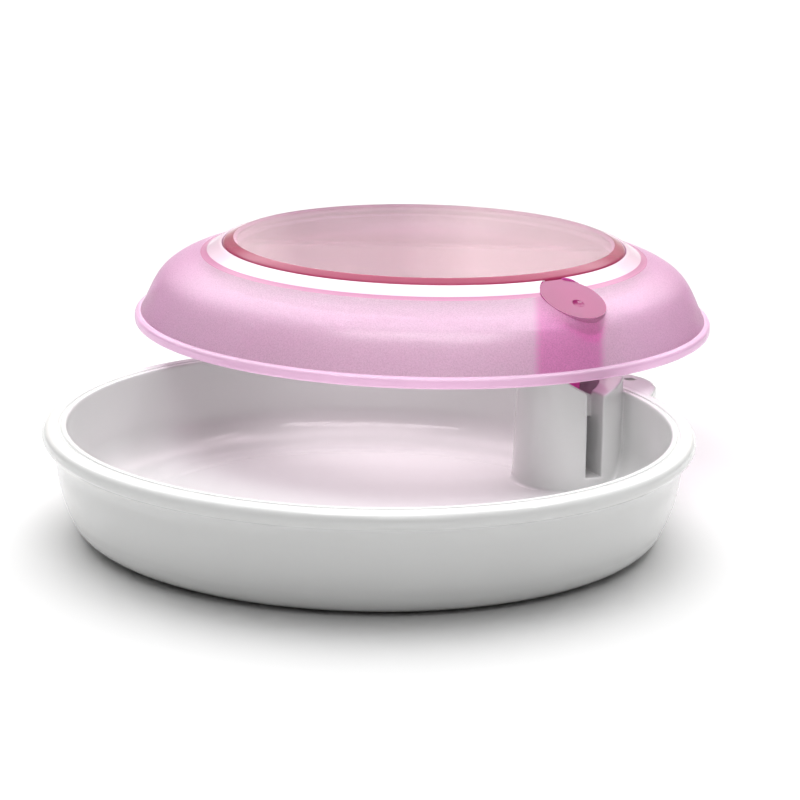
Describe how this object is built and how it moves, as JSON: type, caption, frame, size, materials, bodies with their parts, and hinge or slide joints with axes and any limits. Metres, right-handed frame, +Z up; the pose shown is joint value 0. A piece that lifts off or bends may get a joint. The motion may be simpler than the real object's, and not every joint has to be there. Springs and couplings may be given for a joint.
{
  "type": "covered swivel-lid dish",
  "caption": "Round white covered dish with a frosted pink domed lid that swings sideways and rises on a cam hinge post moulded inside the rim.",
  "frame": {"origin": "centre of the dish on the flat underside of its base", "axes": "+Z up; the hinge post is 35.5 degrees anticlockwise from +X; -Y is the open front of the dish, the lid is swung towards +Y"},
  "size_m": [0.1167, 0.1666, 0.0375],
  "materials": {
    "dish_body": "glossy white moulded plastic",
    "lid_shell": "translucent pink plastic, fine frosted outside, polished rim and ledge",
    "lid_window": "clear polished pink plastic",
    "hinge_screw": "bright zinc plated steel",
    "hinge_washer": "plain steel",
    "hinge_spring": "drawn spring wire"
  },
  "bodies": {
    "dish": {"dish_body": "dish_body"},
    "riser": {"hinge_washer": "hinge_washer", "hinge_spring": "hinge_spring"},
    "lid": {"lid_shell": "lid_shell", "lid_window": "lid_window", "hinge_screw": "hinge_screw"}
  },
  "joints": [
    {"name": "lid_rise", "type": "slide", "parent": "dish", "child": "riser", "axis": [0, 0, 1], "range_m": [-0.00385, 0.0006], "deforming": ["hinge_spring"]},
    {"name": "lid_swing", "type": "hinge", "parent": "riser", "child": "lid", "pos_m": [0.03484, 0.02485, 0.018], "axis": [0, 0, -1], "range_deg": [-89, 12]}
  ],
  "couplings": [
    {"joint": "lid_rise", "follows": "lid_swing", "m_per_rad": 0.0024785}
  ]
}
